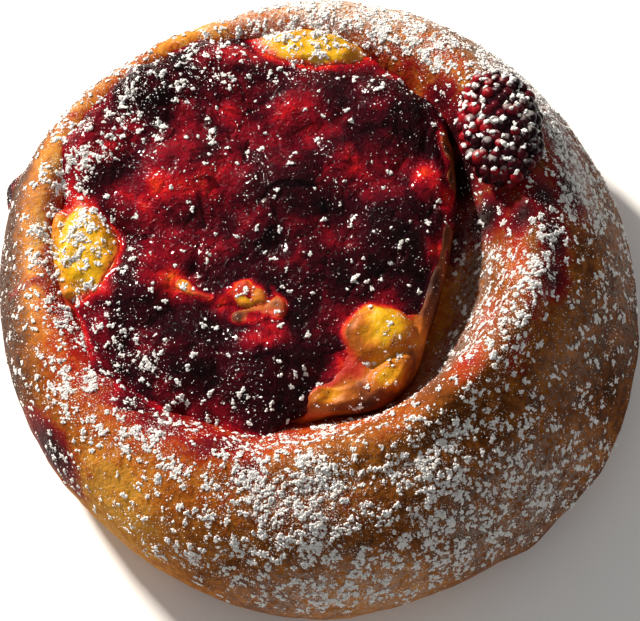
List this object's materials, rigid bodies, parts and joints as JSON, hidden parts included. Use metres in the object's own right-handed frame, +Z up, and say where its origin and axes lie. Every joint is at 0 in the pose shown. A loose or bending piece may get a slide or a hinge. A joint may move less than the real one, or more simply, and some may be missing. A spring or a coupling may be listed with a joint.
{
  "type": "fruit brioche",
  "caption": "Round baked brioche bun with an off-centre well of vanilla custard and berry compote, a bramble berry baked onto its rim and a dusting of icing sugar.",
  "frame": {"origin": "on the table under the middle of the bun's outline", "axes": "+Z up; +X to the right and +Y to the back, with the well off centre towards the back left"},
  "size_m": [0.1199, 0.1201, 0.0381],
  "materials": {
    "crust": "egg-washed baked crust, golden to brown, stained with berry juice and dusted with icing sugar",
    "custard": "baked vanilla custard with a soft sheen",
    "compote": "wet, glossy dark red cooked berries in their juice",
    "berry": "shiny dark drupelets dusted with icing sugar"
  },
  "bodies": {
    "root": {"brioche_bun": "crust", "custard": "custard", "berry_compote": "compote", "bramble_berry": "berry"}
  },
  "joints": []
}
